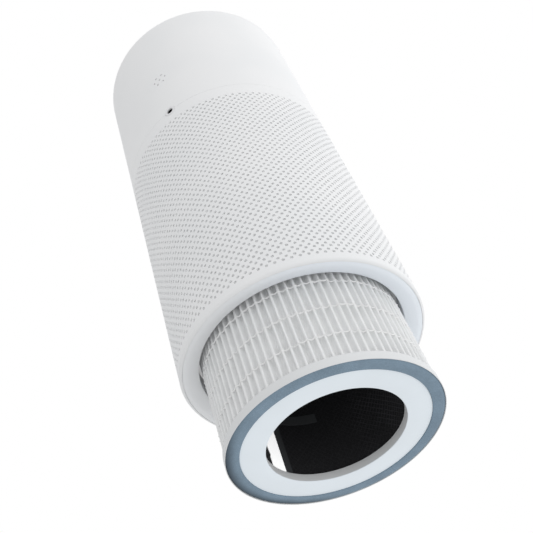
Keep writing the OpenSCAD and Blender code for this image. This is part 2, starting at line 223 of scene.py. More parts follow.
def metal(name, colour, roughness=0.3, scratch=900, metallic=1.0):
    """Drawn or plated metal: fine stretched lines in the gloss and the bump."""
    g = Graph(name)
    lines = g.noise(scratch, 3, stretch=(1, 1, 12))
    cloud = g.noise(70, 3)
    dark = tuple(c * 0.8 for c in colour)
    return g.set(
        Base_Color=g.mix(cloud.step(0.3, 0.7), dark, colour),
        Metallic=metallic,
        Roughness=roughness + (lines - 0.5) * 0.25,
        Normal=g.bump(lines, 0.15, 0.02 * MM),
    )


def foam(name, colour, cell=1400, depth=0.25, painted_shade=0.0):
    """Closed-cell foam: small rounded cells, darker between them, and painted shade darkening the outer edge
    on one side.
    """
    g = Graph(name)
    cells = g.node(
        "ShaderNodeTexVoronoi", {"feature": "F1"}, {"Vector": g.position(), "Scale": cell}
    )
    cloud = g.noise(45, 3)
    dark = tuple(c * 0.72 for c in colour)
    light = tuple(min(1, c * 1.1) for c in colour)
    speck = cells.step(0.15, 0.62) * 0.55 + cloud.step(0.3, 0.7) * 0.35
    x, y, _ = g.axes()
    reach = (x * x + y * y).call("SQRT")
    # Painted shade: the outer edge of the ring towards +X is darkened to stand in for shade that falls
    # there.
    edge = reach.step(81 * MM, 90.6 * MM) * x.step(25 * MM, 80 * MM) * painted_shade
    painted_shade_colour = tuple(c * 0.2 for c in colour)
    return g.set(
        Base_Color=g.mix(edge, g.mix(speck, light, dark), painted_shade_colour),
        Roughness=0.86 - cells * 0.1,
        Normal=g.bump(1 - cells, 0.5, depth * MM),
        Specular_IOR_Level=0.25,
    )


def filter_paper(name, colour):
    """Glass-fibre paper: felted fibres in the tone and the bump."""
    g = Graph(name)
    fibre = g.noise(2600, 5, 0.7, (1, 1, 0.35))
    cloud = g.noise(90, 4)
    dust = g.noise(22, 3)
    dark = tuple(c * 0.90 for c in colour)
    tone = fibre.step(0.3, 0.7) * 0.35 + cloud.step(0.35, 0.7) * 0.35 + dust.step(0.4, 0.7) * 0.3
    return g.set(
        Base_Color=g.mix(tone, colour, dark),
        Roughness=0.93 - fibre * 0.08,
        Normal=g.bump(fibre, 0.35, 0.12 * MM),
        Specular_IOR_Level=0.2,
    )


def carbon_net(name, colour, shine):
    """Black net over carbon granules: two sets of diagonal threads round the bore."""
    g = Graph(name)
    x, y, z = g.axes()
    round_way = g.maths("ARCTAN2", y, x) * (CORE_R * 1000)
    up_way = z * 1000
    pitch = 2.6
    one = ((round_way + up_way) * (TAU / 2 / pitch)).call("SINE")
    two = ((round_way - up_way) * (TAU / 2 / pitch)).call("SINE")
    net = one.call("MAXIMUM", two).step(0.55, 0.95)
    granule = g.node(
        "ShaderNodeTexVoronoi", {"feature": "F1"}, {"Vector": g.position(), "Scale": 620.0}
    )
    cloud = g.noise(30, 3)
    rough = 0.62 - net * 0.2 + cloud * 0.2
    body = g.mix(granule.step(0.1, 0.6), tuple(c * 1.5 for c in colour), colour)
    turn = round_way * (1 / (CORE_R * 1000))
    # A patch round one side of the bore where the paler threads show most and stand higher in the bump.
    paler_thread_patch = turn.step(-2.9, -2.5) * (1 - turn.step(-1.9, -1.4))
    height = net * (paler_thread_patch * 0.8 + 0.2) + granule * 0.6
    return g.set(
        Base_Color=g.mix(net * cloud.step(0.35, 0.6) * (paler_thread_patch * 0.8 + 0.1), body, shine),
        Roughness=rough,
        Normal=g.bump(height, 0.55, 0.5 * MM),
        Specular_IOR_Level=0.2,
    )


def tape(name, colour, thread=700):
    """Woven tape: small crossing threads in the tone and the bump."""
    g = Graph(name)
    x, y, z = g.axes()
    round_way = g.maths("ARCTAN2", y, x) * (CORE_R * thread)
    warp = (round_way * TAU).call("SINE")
    weft = (z * (thread * TAU)).call("SINE")
    weave = warp * weft * 0.5 + 0.5
    cloud = g.noise(40, 3)
    dark = tuple(c * 0.6 for c in colour)
    return g.set(
        Base_Color=g.mix(weave * 0.5 + cloud * 0.5, dark, colour),
        Roughness=0.75 - cloud * 0.15,
        Normal=g.bump(weave, 0.35, 0.15 * MM),
        Specular_IOR_Level=0.25,
    )


def circuit(name, colour, pad):
    """Circuit board: lacquer with tracks in straight steps and small tinned pads."""
    g = Graph(name)
    bricks = g.node(
        "ShaderNodeTexVoronoi",
        {"feature": "F1", "distance": "CHEBYCHEV"},
        {"Vector": g.position(), "Scale": 260.0},
    )
    tracks = bricks.step(0.40, 0.46)
    pads = 1 - bricks.step(0.10, 0.14)
    light = tuple(min(1, c * 1.7) for c in colour)
    return g.set(
        Base_Color=g.mix(pads, g.mix(tracks, colour, light), pad),
        Metallic=pads * 0.8,
        Roughness=0.34 + g.noise(80, 2) * 0.15,
        Normal=g.bump(tracks + pads, 0.3, 0.06 * MM),
    )


def cap_paint_with_painted_light(name, face, side):
    """Moulded cap: warmer white round its walls, and on the flat face a cool blue tint that is painted
    light, standing in for bluish light falling on the face.
    """
    g = Graph(name)
    x, y, z = g.axes()
    reach = (x * x + y * y).call("SQRT")
    near = z.call("MINIMUM", FILTER_H - z)
    flat = (1 - near.step(1.0 * MM, 1.6 * MM)) * (1 - reach.step(79.2 * MM, 79.8 * MM))
    slow = g.noise(20, 2)
    # Painted light: the face's cool tint stands in for bluish light on it.
    paint = g.mix(flat, side, face)
    return g.set(
        Base_Color=g.mix(slow.step(0.35, 0.7) * 0.06, paint, (0.5, 0.5, 0.5)),
        Roughness=0.5 + (g.noise(60, 3) - 0.5) * 0.12,
        Normal=g.bump(g.noise(6000, 2), 0.25, 0.02 * MM),
        Specular_IOR_Level=0.4,
    )


def ring_paint_with_painted_light(name, near, far):
    """Matte white plastic with painted cool light: it turns slowly bluer towards -X, standing in for bluish
    light falling on that side of the ring.
    """
    g = Graph(name)
    x = g.axes()[0]
    slow = g.noise(20, 2)
    # Painted light: this mask sets the bluish tint towards -X.
    cool = 1 - (x + (slow - 0.5) * 0.02).step(-0.085, 0.03)
    return g.set(
        Base_Color=g.mix(cool, near, far),
        Roughness=0.5 + (g.noise(60, 3) - 0.5) * 0.12,
        Normal=g.bump(g.noise(7000, 2), 0.25, 0.02 * MM),
        Specular_IOR_Level=0.42,
    )


def woven(name, thread, gap, glow):
    """Woven net round the axis: square meshes with darker gaps, and a faint emission that is painted light.
    """
    g = Graph(name)
    x, y, z = g.axes()
    pitch = 0.9 * MM
    warp = (g.maths("ARCTAN2", y, x) * (INNER_R * TAU / pitch)).call("SINE")
    weft = (z * (TAU / pitch)).call("SINE")
    weave = warp.call("MAXIMUM", weft)
    cloud = g.noise(25, 3)
    return g.set(
        Base_Color=g.mix(weave.step(0.0, 0.7), gap, thread),
        Roughness=0.8 - cloud * 0.1,
        Normal=g.bump(weave, 0.4, 0.15 * MM),
        Specular_IOR_Level=0.25,
        Emission_Color=thread,
        Emission_Strength=glow,
    )


def winding(name, colour):
    """Enamelled copper wire: fine parallel turns."""
    g = Graph(name)
    z = g.axes()[2]
    turns = (z * (TAU / (0.5 * MM))).call("SINE") * 0.5 + 0.5
    dark = tuple(c * 0.45 for c in colour)
    return g.set(
        Base_Color=g.mix(turns, dark, colour),
        Metallic=0.75,
        Roughness=0.38 - turns * 0.1,
        Normal=g.bump(turns, 0.6, 0.2 * MM),
    )


def symbol_key(name, colour, ink, centre, radius, power):
    """Key cap with one printed symbol: a ring, broken by an upright bar on the power key."""
    g = Graph(name)
    x, y, z = g.axes()
    dx = x - centre[0]
    dy = y - centre[1]
    reach = (dx * dx + dy * dy).call("SQRT")
    line = 0.28 * MM
    soft = 0.08 * MM
    ring = 1 - (reach - radius).call("ABSOLUTE").step(line, line + soft)
    if power:
        gap = 1 - dx.call("ABSOLUTE").step(radius * 0.35, radius * 0.35 + soft)
        above = dy.step(0.0, soft)
        bar = 1 - dx.call("ABSOLUTE").step(line, line + soft)
        foot, head = radius * 0.15, radius * 1.2
        tall = dy.step(foot, foot + soft) * (1 - dy.step(head, radius * 1.25))
        mark = (ring * (1 - gap * above)).call("MAXIMUM", bar * tall)
    else:
        dot = 1 - reach.step(radius * 0.3, radius * 0.3 + soft)
        mark = ring.call("MAXIMUM", dot)
    up = z.step(PANEL_HIGH[2] - 0.1 * MM, PANEL_HIGH[2] + 0.1 * MM)
    grain = g.noise(7000, 2)
    return g.set(
        Base_Color=g.mix(mark * up, colour, ink),
        Roughness=0.36 + (g.noise(120, 3) - 0.5) * 0.1,
        Normal=g.bump(grain, 0.2, 0.02 * MM),
    )


def case_white(name):
    """White case plastic: satin, with a fine moulding grain and the faintest cloudiness."""
    g = Graph(name)
    slow = g.noise(9, 2)
    fine = g.noise(5200, 3)
    return g.set(
        Base_Color=g.mix(slow.step(0.3, 0.7), (0.845, 0.85, 0.855), (0.875, 0.875, 0.877)),
        Roughness=0.46 + (g.noise(55, 3) - 0.5) * 0.10,
        Normal=g.bump(fine, 0.22, 0.02 * MM),
        Specular_IOR_Level=0.4,
    )


LOOKS = {
    "white_case": case_white("satin white case"),
    # The base ring's bluish side is painted cool light.
    "base_white": ring_paint_with_painted_light("white base with painted cool light", (0.875, 0.885, 0.895), (0.89, 0.935, 0.985)),
    "inner_plastic": plastic("light grey moulding", (0.70, 0.71, 0.72), 0.5),
    "dark_plastic": plastic("dark grey moulding", (0.06, 0.06, 0.065), 0.55),
    "pale_plastic": plastic("pale grey trim", (0.80, 0.80, 0.81), 0.35),
    "black_plastic": plastic("black moulding", (0.012, 0.012, 0.013), 0.4),
    "sensor_case": plastic("sensor grey", (0.05, 0.055, 0.06), 0.55),
    "foam": foam("black foam", (0.03, 0.03, 0.032)),
    "circuit_board": circuit("green board", (0.01, 0.07, 0.03), (0.62, 0.60, 0.55)),
    "metal_parts": metal("tinned parts", (0.62, 0.62, 0.63), 0.35),
    "wire_cover": plastic("red wire cover", (0.32, 0.02, 0.018), 0.45),
    "steel": metal("plated steel", (0.56, 0.57, 0.59)),
    "copper_winding": winding("copper turns", (0.62, 0.25, 0.09)),
    "clear_ring": plastic("frosted ring", (0.70, 0.82, 0.86), 0.3, coat=0.3),
    "black_gloss": plastic("gloss black panel", (0.010, 0.010, 0.012), 0.16, coat=0.6),
    "fan_plastic": plastic("fan white", (0.74, 0.74, 0.745), 0.45),
    "magnet": metal("sintered magnet", (0.10, 0.10, 0.11), 0.5, 400, 0.6),
    # The net's emission (0.22) is painted light that lifts the net seen through the holes.
    "net": woven("pale net with painted glow", (0.90, 0.90, 0.90), (0.80, 0.80, 0.81), 0.22),
    # The cap's blue face tint is painted light; its walls keep the cap's own white.
    "cap_plastic": cap_paint_with_painted_light("white cap with painted blue light", (0.85, 0.912, 0.96), (0.755, 0.765, 0.77)),
    # The gasket's darker outer edge on one side is painted shade.
    "gasket_foam": foam("blue-grey foam", (0.245, 0.335, 0.42), painted_shade=0.9),
    "filter_paper": filter_paper("filter paper", (0.885, 0.89, 0.89)),
    "glue": plastic("glue thread", (0.87, 0.87, 0.865), 0.6, 1500, 0.05),
    "carbon_mesh": carbon_net("carbon net", (0.017, 0.017, 0.0185), (0.045, 0.045, 0.05)),
    "dark_tape": tape("dark tape", (0.065, 0.068, 0.072)),
    # The label's emission (glow 0.7) is painted light: it glows though it is no lamp.
    "label_film": plastic("white film with painted glow", (0.92, 0.92, 0.92), 0.4, glow=0.7),
    "grey_tape": tape("grey band", (0.06, 0.064, 0.068)),
}
INK = (0.05, 0.05, 0.055)


# ---------------------------------------------------------------- mesh helpers


def rounded(corners, steps=4):
    """Closed outline in which each corner (r, z, round) becomes an arc.

    The arc is a quadratic blend between the points at which the rounding starts and ends.
    """
    points = np.array([c[:2] for c in corners], float)
    sizes = np.array([c[2] if len(c) > 2 else 0.0 for c in corners])
    back = np.roll(points, 1, 0) - points
    ahead = np.roll(points, -1, 0) - points
    back_len = np.linalg.norm(back, axis=1)
    ahead_len = np.linalg.norm(ahead, axis=1)
    cut = np.minimum(sizes, 0.45 * np.minimum(back_len, ahead_len))
    start = points + back / back_len[:, None] * cut[:, None]
    end = points + ahead / ahead_len[:, None] * cut[:, None]
    t = np.linspace(0, 1, steps + 1)[None, :, None]
    curve = (1 - t) ** 2 * start[:, None] + 2 * t * (1 - t) * points[:, None] + t**2 * end[:, None]
    keep = [curve[i] if cut[i] > 0 else points[i : i + 1] for i in range(len(points))]
    return np.concatenate(keep)


def grid_faces(rows, columns, wrap_rows=False, wrap_columns=False):
    """Quads of a grid of points stored row by row, joined round where a direction is closed."""
    i = np.arange(rows if wrap_rows else rows - 1)[:, None]
    j = np.arange(columns if wrap_columns else columns - 1)[None, :]
    i2 = (i + 1) % rows
    j2 = (j + 1) % columns
    quads = [i * columns + j, i * columns + j2, i2 * columns + j2, i2 * columns + j]
    return np.stack(quads, -1).reshape(-1, 4)


def revolve(profile, columns=240):
    """Points and faces of an outline in (radius, height) turned once about the Z axis.

    The outline is closed, and is put clockwise so that its faces look outward.
    """
    r, z = profile[:, 0], profile[:, 1]
    area = np.sum(r * np.roll(z, -1) - np.roll(r, -1) * z)
    if area > 0:
        r, z = r[::-1], z[::-1]
    a = np.linspace(0, TAU, columns, endpoint=False)
    points = np.stack(
        [np.outer(np.cos(a), r), np.outer(np.sin(a), r), np.broadcast_to(z, (columns, len(z)))], -1
    )
    return points.reshape(-1, 3), grid_faces(columns, len(r), True, True)


def merged(points, faces):
    """The same surface with points in the same place made one."""
    keys = np.round(points / 1e-6).astype(np.int64)
    _, first, where = np.unique(keys, axis=0, return_index=True, return_inverse=True)
    faces = where.reshape(-1)[faces]
    return points[first], faces


def joined(*parts):
    """One list of points and one of faces from several."""
    shift = np.cumsum([0] + [len(p) for p, _ in parts[:-1]])
    points = np.concatenate([p for p, _ in parts])
    faces = np.concatenate([f + s for (_, f), s in zip(parts, shift)])
    return points, faces


def piece(name, shape, look, body, stands_for=(), sharp=40, slot=None):
    """A finished object from points and faces: smooth, with edges sharper than an angle kept."""
    points, faces = merged(*shape)
    repeats = faces == np.roll(faces, -1, axis=1)
    whole = faces[repeats.sum(1) == 0]
    thin = faces[repeats.sum(1) == 1]
    thin = np.array([f[np.sort(np.unique(f, return_index=True)[1])] for f in thin], int).reshape(-1, 3)
    mesh = bpy.data.meshes.new(name)
    mesh.vertices.add(len(points))
    mesh.vertices.foreach_set("co", points.astype(np.float32).ravel())
    loops = np.concatenate([whole.ravel(), thin.ravel()])
    starts = np.concatenate([np.arange(len(whole)) * 4, len(whole) * 4 + np.arange(len(thin)) * 3])
    mesh.loops.add(len(loops))
    mesh.loops.foreach_set("vertex_index", loops.astype(np.int32))
    mesh.polygons.add(len(starts))
    mesh.polygons.foreach_set("loop_start", starts.astype(np.int32))
    mesh.update(calc_edges=True)
    mesh.validate()
    mesh.polygons.foreach_set("use_smooth", np.ones(len(mesh.polygons), bool))
    mesh.set_sharp_from_angle(angle=math.radians(sharp))
    made = bpy.data.objects.new(name, mesh)
    bpy.context.scene.collection.objects.link(made)
    made.data.materials.append(LOOKS[look] if look in LOOKS else look)
    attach(made, body)
    if stands_for:
        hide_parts(*stands_for)
    return made


def turned(name, corners, look, body, stands_for=(), columns=240, **more):
    """A piece turned from one rounded outline."""
    return piece(name, revolve(rounded(corners), columns), look, body, stands_for, **more)


# ---------------------------------------------------------------- intake shell

HOLES_ROUND = 100
HOLE_R = 1.45 * MM
ROW_PAIR = 7.53 * MM
ROW_STEP = 3.25 * MM
ROWS = 66
FIRST_ROW = RIM_Z + 9.5 * MM


def hole_rows(rows):
    """Middle, lower edge and upper edge of each row's band.

    Rows stand in pairs, one short step and one long step apart.
    """
    k = np.arange(rows[0], rows[1])
    middle = FIRST_ROW + (k // 2) * ROW_PAIR + (k % 2) * ROW_STEP
    gap_up = np.where(k % 2 == 0, ROW_STEP, ROW_PAIR - ROW_STEP)
    gap_down = ROW_PAIR - gap_up
    return k, middle, middle - gap_down / 2, middle + gap_up / 2


def pierced(rows):
    """Tube wall of brick-laid cells, each with an eight-sided hole.

    A cell has an outer skin, an inner skin and a hole wall, eight quads each. Its outline is
    joined to the hole's corner by corner.
    """
    k, middle, low, high = hole_rows(rows)
    cell = TAU / HOLES_ROUND
    across = np.array([-0.5, 0, 0.5, 0.5, 0.5, 0, -0.5, -0.5]) * cell
    level = np.array([0, 0, 0, 1, 2, 2, 2, 1])
    turn = np.radians(np.arange(-135, 225, 45))
    angle = (np.arange(HOLES_ROUND)[None, :] + 0.5 * (k % 2)[:, None]) * cell
    height = np.stack([low, middle, high], -1)[:, level]
    edge_a = angle[:, :, None] + across
    edge_z = np.broadcast_to(height[:, None, :], edge_a.shape)
    hole_a = angle[:, :, None] + HOLE_R * np.cos(turn) / CASE_R
    hole_z = np.broadcast_to((middle[:, None] + HOLE_R * np.sin(turn))[:, None, :], hole_a.shape)
    rings = [
        (edge_a, edge_z, CASE_R), (hole_a, hole_z, CASE_R),
        (edge_a, edge_z, INNER_R), (hole_a, hole_z, INNER_R),
    ]
    points = np.stack([np.stack([r * np.cos(a), r * np.sin(a), z], -1) for a, z, r in rings], 2)
    cells = points.shape[0] * points.shape[1]
    j = np.arange(8)
    n = (j + 1) % 8
    outer = np.stack([j, n, 8 + n, 8 + j], -1)
    wall = np.stack([8 + j, 8 + n, 24 + n, 24 + j], -1)
    inner = np.stack([16 + n, 16 + j, 24 + j, 24 + n], -1)
    one = np.concatenate([outer, wall, inner])
    faces = (np.arange(cells) * 32)[:, None, None] + one
    return points.reshape(-1, 3), faces.reshape(-1, 4)


def open_turned(r, z, columns):
    """Open outline in (radius, height), turned once about the Z axis, facing to the left of its way."""
    a = np.linspace(0, TAU, columns, endpoint=False)
    points = np.stack(
        [np.outer(np.cos(a), r), np.outer(np.sin(a), r), np.broadcast_to(z, (columns, len(z)))], -1
    )
    return points.reshape(-1, 3), grid_faces(columns, len(r), True, False)[:, ::-1]


def lip():
    """Lower edge of the shell: a quarter round, then a slanted inner side up to the wall."""
    low = hole_rows((0, 1))[2][0]
    bend = np.linspace(0, -TAU / 4, 9)
    edge = 2.6 * MM
    r = np.concatenate([[CASE_R], CASE_R - edge + edge * np.cos(bend), [CASE_R - edge, INNER_R, INNER_R]])
    z = np.concatenate([[low], RIM_Z + edge + edge * np.sin(bend), [RIM_Z + 2.4 * MM, RIM_Z + edge, low]])
    return open_turned(r[::-1], z[::-1], HOLES_ROUND * 2)


NOTCH_R = 6.35 * MM


def notch(angle, sign):
    """How far the inlet's round notch reaches up or down from its middle at an angle round the case."""
    x = CASE_R * np.cos(angle)
    behind = np.sin(angle) > 0
    return np.where(behind & (np.abs(x) < NOTCH_R), sign * np.sqrt(np.maximum(NOTCH_R**2 - x**2, 0)), np.nan)


def notched_angles(count=720):
    """Even steps round the case, with closer ones at the inlet's notch."""
    across = np.linspace(-1, 1, 41)
    near = TAU / 4 + np.arcsin(np.sin(across * TAU / 4) * NOTCH_R / CASE_R)
    even = np.linspace(0, TAU, count, endpoint=False)
    even = even[np.abs(even - TAU / 4) > NOTCH_R / CASE_R + 0.002]
    return np.sort(np.concatenate([even, near]))


def collar():
    """Plain band between the last holes and the seam, with half of the inlet's notch in its top."""
    low = hole_rows((ROWS - 1, ROWS))[3][0]
    a = notched_angles()
    top = np.full(len(a), SEAM_Z - 0.1 * MM)
    cut = notch(a, -1)
    top = np.where(np.isnan(cut), top, np.minimum(top, JACK_Z + cut))
    soft = 0.15 * MM
    r = [INNER_R, INNER_R, CASE_R - soft, CASE_R, CASE_R, CASE_R]
    z = [np.full(len(a), low), top, top, top - soft, top - 4 * MM, np.full(len(a), low)]
    points = np.stack([np.stack([q * np.cos(a), q * np.sin(a), h], -1) for q, h in zip(r, z)], 1)
    return points.reshape(-1, 3), grid_faces(len(a), len(r), True, False)


half_way = ROWS // 2
low_half = joined(lip(), pierced((0, half_way)))
high_half = joined(pierced((half_way, ROWS)), collar())
piece("pierced_shell_low", low_half, "white_case", "housing", ["intake_shell"])
piece("pierced_shell_high", high_half, "white_case", "housing", ["intake_shell"])

# ---------------------------------------------------------------- upper housing

SENSOR_PITCH = 7 * MM
SENSOR_HOLE_R = 1.25 * MM


def housing_shape():
    """Smooth tube with a rounded top edge that turns into the grille's seat.

    Its lower edge follows the inlet's notch.
    """
    a = notched_angles()
    low = np.full(len(a), SEAM_Z + 0.1 * MM)
    cut = notch(a, 1)
    low = np.where(np.isnan(cut), low, np.maximum(low, JACK_Z + cut))
    soft = 0.15 * MM
    edge = 12 * MM
    bend = np.linspace(0, TAU / 4, 17)
    outer_r = CASE_R - edge + edge * np.cos(bend)
    outer_z = TOP_Z - edge + edge * np.sin(bend)
    thin = edge - WALL
    inner_r = (CASE_R - edge + thin * np.cos(bend))[::-1]
    inner_z = (TOP_Z - edge + thin * np.sin(bend))[::-1]
    seat = [94 * MM + 2 * soft, 94 * MM, 94 * MM, 96.2 * MM, 96.2 * MM]
    seat_z = [TOP_Z, TOP_Z - 2 * soft, TOP_Z - 9 * MM, TOP_Z - 9 * MM, TOP_Z - WALL]
    wall_r = [INNER_R, CASE_R - soft, CASE_R, CASE_R, CASE_R, CASE_R]
    r = np.concatenate([wall_r, outer_r[1:], seat, inner_r, [INNER_R]])
    fixed = np.concatenate([outer_z[1:], seat_z, inner_z, [SEAM_Z + 30 * MM]])
    middle, shoulder = np.full(len(a), SEAM_Z + 30 * MM), np.full(len(a), outer_z[0])
    levels = [low, low, low + soft, low + 8 * MM, middle, shoulder]
    z = np.concatenate([np.stack(levels, -1), np.broadcast_to(fixed, (len(a), len(fixed)))], 1)
    points = np.stack([np.outer(np.cos(a), r), np.outer(np.sin(a), r), z], -1)
    return points.reshape(-1, 3), grid_faces(len(a), len(r), True, True)[:, ::-1]


def rod_y(radius, x, z, near, far, sides=32):
    """Closed round bar along Y: a ring of points at each end, and a point in the middle of each end."""
    a = np.linspace(0, TAU, sides, endpoint=False)
    steps = [(0, near), (radius, near), (radius, far), (0, far)]
    rings = [np.stack([x + q * np.cos(a), np.full(sides, y), z + q * np.sin(a)], -1) for q, y in steps]
    return np.concatenate(rings), grid_faces(4, sides, False, True)[:, ::-1]


def cut_by(target, shape):
    """Cuts a closed shape out of a piece for good, with a Boolean modifier that is applied at once."""
    points, faces = merged(*shape)
    tool_mesh = bpy.data.meshes.new("cutter")
    tool_mesh.from_pydata(points.tolist(), [], [list(dict.fromkeys(f)) for f in faces.tolist()])
    tool = bpy.data.objects.new("cutter", tool_mesh)
    bpy.context.scene.collection.objects.link(tool)
    cut = target.modifiers.new("cut", "BOOLEAN")
    cut.object = tool
    cut.solver = "EXACT"
    bpy.context.view_layer.update()
    done = bpy.data.meshes.new_from_object(target.evaluated_get(bpy.context.evaluated_depsgraph_get()))
    target.modifiers.clear()
    target.data = done
    bpy.data.objects.remove(tool)
    done.polygons.foreach_set("use_smooth", np.ones(len(done.polygons), bool))
    done.set_sharp_from_angle(angle=math.radians(40))


def sensor_holes():
    """One hole in the middle and six round it, an equal pitch apart."""
    places = [(0.0, 0.0)] + [(math.cos(t), math.sin(t)) for t in np.arange(6) * TAU / 6]
    rods = [
        rod_y(SENSOR_HOLE_R, SENSOR_PITCH * u, SENSOR_Z + SENSOR_PITCH * v, 0.100, 0.115)
        for u, v in places
    ]
    return joined(*rods)


housing = piece("smooth_housing", housing_shape(), "white_case", "housing", ["upper_housing", "top_rim"])
cut_by(housing, sensor_holes())

# ---------------------------------------------------------------- base ring and inlet

turned(
    "dished_base_ring",
    [
        (107.2 * MM, RIM_Z + 0.05 * MM, 0.2 * MM), (107.2 * MM, RIM_Z + 2.3 * MM, 0.2 * MM),
        (104.9 * MM, RIM_Z + 2.3 * MM, 0.2 * MM), (104.9 * MM, RIM_Z + 12 * MM, 0.5 * MM),
        (102.7 * MM, RIM_Z + 12 * MM, 0.5 * MM), (102.7 * MM, RIM_Z + 4 * MM, 1 * MM),
        (94.6 * MM, RIM_Z + 7.2 * MM, 2 * MM), (94.6 * MM, RIM_Z + 24 * MM, 0.5 * MM),
        (92.4 * MM, RIM_Z + 24 * MM, 0.5 * MM), (92.4 * MM, RIM_Z + 4 * MM, 0.8 * MM),
        (103.3 * MM, RIM_Z + 0.05 * MM, 3 * MM),
    ],
    "base_white", "housing", ["base_ring"], 360,
)


def along_y(shape, z):
    """A shape turned about Z, laid over so that its axis points along +Y at a height."""
    points, faces = shape
    return np.stack([points[:, 0], points[:, 2], z - points[:, 1]], -1), faces


bezel_outline = rounded([
    (3.55 * MM, 103 * MM), (8 * MM, 103 * MM), (8 * MM, 105 * MM), (6.2 * MM, 105 * MM),
    (6.2 * MM, 110.3 * MM, 0.6 * MM), (3.55 * MM, 110.3 * MM, 0.6 * MM),
])
piece("inlet_ring", along_y(revolve(bezel_outline, 64), JACK_Z), "pale_plastic", "housing", ["jack_bezel"])

# ---------------------------------------------------------------- cartridge

CAP_OUTLINE = [
    (58.4 * MM, 0.8 * MM, 0.6 * MM), (79.5 * MM, 0.8 * MM, 0.25 * MM), (79.5 * MM, 2.4 * MM),
    (90.6 * MM, 2.4 * MM), (90.6 * MM, 0.4 * MM, 0.2 * MM), (91.2 * MM, 0.4 * MM, 0.3 * MM),
    (91.2 * MM, 8 * MM, 0.5 * MM), (90 * MM, 8 * MM, 0.4 * MM),
    (90 * MM, 4.4 * MM), (59.8 * MM, 4.4 * MM), (59.8 * MM, 8 * MM, 0.5 * MM),
    (58.4 * MM, 8 * MM, 0.5 * MM),
]
FOAM_FALL = np.linspace(0, 1, 9)
GASKET_OUTLINE = [
    (79.6 * MM, 0.0, 0.3 * MM),
    *[((84.5 + 6.05 * (2 * t - t * t)) * MM, 2.0 * t * t * MM) for t in FOAM_FALL],
    (90.55 * MM, 2.4 * MM, 0.1 * MM), (79.6 * MM, 2.4 * MM, 0.1 * MM),
]


def other_end(corners):
    """The same outline at the cartridge's far end."""
    return [(c[0], FILTER_H - c[1], *c[2:]) for c in corners]


turned("near_cap", CAP_OUTLINE, "cap_plastic", "cartridge", ["end_cap_lower"], 360)
turned("far_cap", other_end(CAP_OUTLINE), "cap_plastic", "cartridge", ["end_cap_upper"])
turned("near_gasket", GASKET_OUTLINE, "gasket_foam", "cartridge", ["gasket_lower"], 360)
turned("far_gasket", other_end(GASKET_OUTLINE), "gasket_foam", "cartridge", ["gasket_upper"])
turned(
    "carbon_tube",
    [
        (CORE_R, CORE_LOW[2]), (CORE_R + 6 * MM, CORE_LOW[2]),
        (CORE_R + 6 * MM, CORE_HIGH[2]), (CORE_R, CORE_HIGH[2]),
    ],
    "carbon_mesh", "cartridge", ["carbon_core"],
)

PLEAT_PLACES = np.array([0, 0.05, 0.1, 0.13, 0.16, 0.19, 0.22, 0.25, 0.29, 0.35, 0.42, 0.5])
PLEAT_PLACES = np.concatenate([PLEAT_PLACES, 1 - PLEAT_PLACES[-2:0:-1]])
PLEAT_ROWS = 20
PLEAT_DEPTH = 5.2 * MM
chance = np.random.default_rng(7)
PLEAT_LEAN = chance.normal(0, 1, (PLEATS, 4))


def smooth(x, low, high):
    """0 below low, 1 above high, and the cubic 3t^2 - 2t^3 between."""
    t = np.clip((x - low) / (high - low), 0, 1)
    return t * t * (3 - 2 * t)


def pleat_path(u):
    """Depth from the tip, 0 to 1, at place u across one pleat.

    Three smooth steps are added: a broad round tip, steep sides and a gentle valley.
    """
    away = np.minimum(u, 1 - u)
    tip, side, valley = smooth(away, 0.0, 0.12), smooth(away, 0.11, 0.28), smooth(away, 0.2, 0.5)
    return 0.05 * tip + 0.70 * side + 0.25 * valley


def pleat_place(k, u, h):
    """Angle and radius of the paper for pleat k, place u across it and height h from 0 to 1.

    Each pleat leans by a half sine and wavers by a full one, a few tenths of a millimetre.
    """
    lean = PLEAT_LEAN[k % PLEATS]
    ripple = 0.5 * lean[..., 1] * np.sin(TAU * (h * 2 + lean[..., 2]))
    waver = 0.3 * MM * (lean[..., 0] * np.sin(np.pi * h) + ripple)
    depth = pleat_path(u)
    ridge = TIP_R - 0.2 * MM - 0.25 * MM * np.abs(lean[..., 3]) * np.sin(np.pi * h)
    angle = (k + u) * TAU / PLEATS + waver * np.cos(np.pi * u) ** 4 / TIP_R
    return angle, ridge - PLEAT_DEPTH * depth


def paper():
    """Pleated paper as one closed sheet: the outer skin, and the same skin a little further in."""
    steps = len(PLEAT_PLACES)
    k = np.repeat(np.arange(PLEATS), steps)
    u = np.tile(PLEAT_PLACES, PLEATS)
    h = np.linspace(0, 1, PLEAT_ROWS)[:, None]
    angle, radius = pleat_place(k[None, :], u[None, :], h)
    z = MEDIA_LOW[2] + (MEDIA_HIGH[2] - MEDIA_LOW[2]) * h + 0 * radius
    inside = radius - 1.2 * MM - 3 * MM * (1 - pleat_path(u)) ** 2
    skins = [np.stack([q * np.cos(angle), q * np.sin(angle), z], -1) for q in (radius, inside)]
    loop = np.concatenate([skins[0], skins[1][::-1]])
    return loop.reshape(-1, 3), grid_faces(2 * PLEAT_ROWS, PLEATS * steps, True, True)


piece("pleated_paper", paper(), "filter_paper", "cartridge", ["pleated_media"], sharp=60)

BEAD_PITCH = 28 * MM
BEAD_FIRST = 30.8 * MM
BEAD_COUNT = 8


